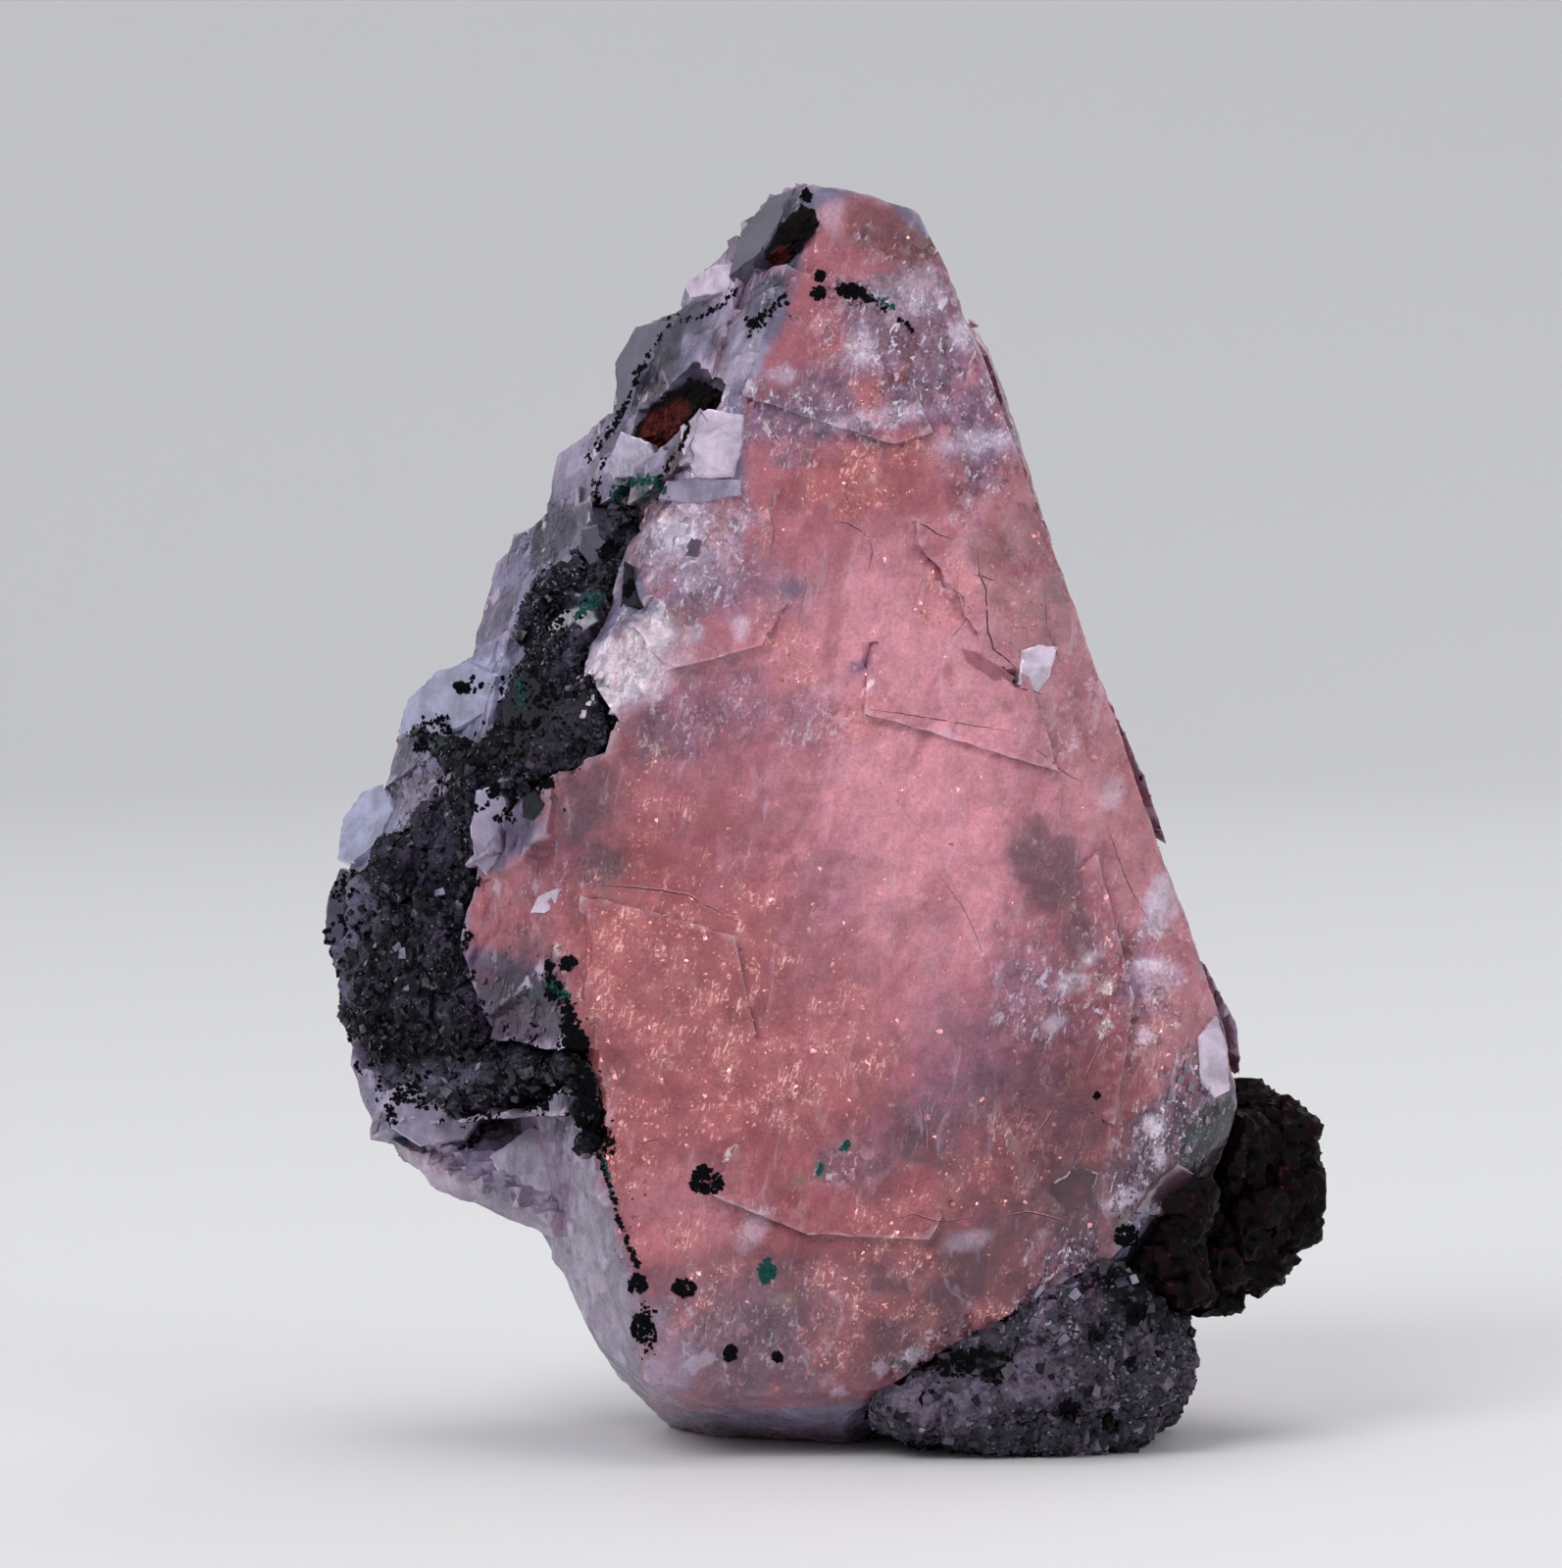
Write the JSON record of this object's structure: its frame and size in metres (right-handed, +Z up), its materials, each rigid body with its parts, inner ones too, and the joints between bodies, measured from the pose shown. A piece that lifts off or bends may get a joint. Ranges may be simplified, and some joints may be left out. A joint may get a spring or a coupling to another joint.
{
  "type": "native copper in calcite specimen",
  "caption": "Upright cloudy pink calcite crystal with copper flecks, a stepped pale flank with dark rock, a grey rock foot and a sponge of native copper.",
  "frame": {"origin": "on the flat broken base, under the tip", "axes": "+Z up, -Y out of the broad front face, +X to the right as the front face is seen"},
  "size_m": [0.0406, 0.0269, 0.0509],
  "materials": {
    "calcite": "cloudy vitreous crystal with pearly cleavage",
    "chlorite": "rough granular rock with glints",
    "grey_rock": "rough granular rock with glints",
    "dark_copper": "dark tarnish over spongy metal",
    "red_copper": "red-brown tarnish with dark edges"
  },
  "bodies": {
    "root": {"calcite_crystal": "calcite", "chlorite_rock": "chlorite", "grey_foot_rock": "grey_rock", "copper_sponge": "dark_copper", "copper_sheet_upper": "red_copper", "copper_sheet_tip": "red_copper"}
  },
  "joints": []
}
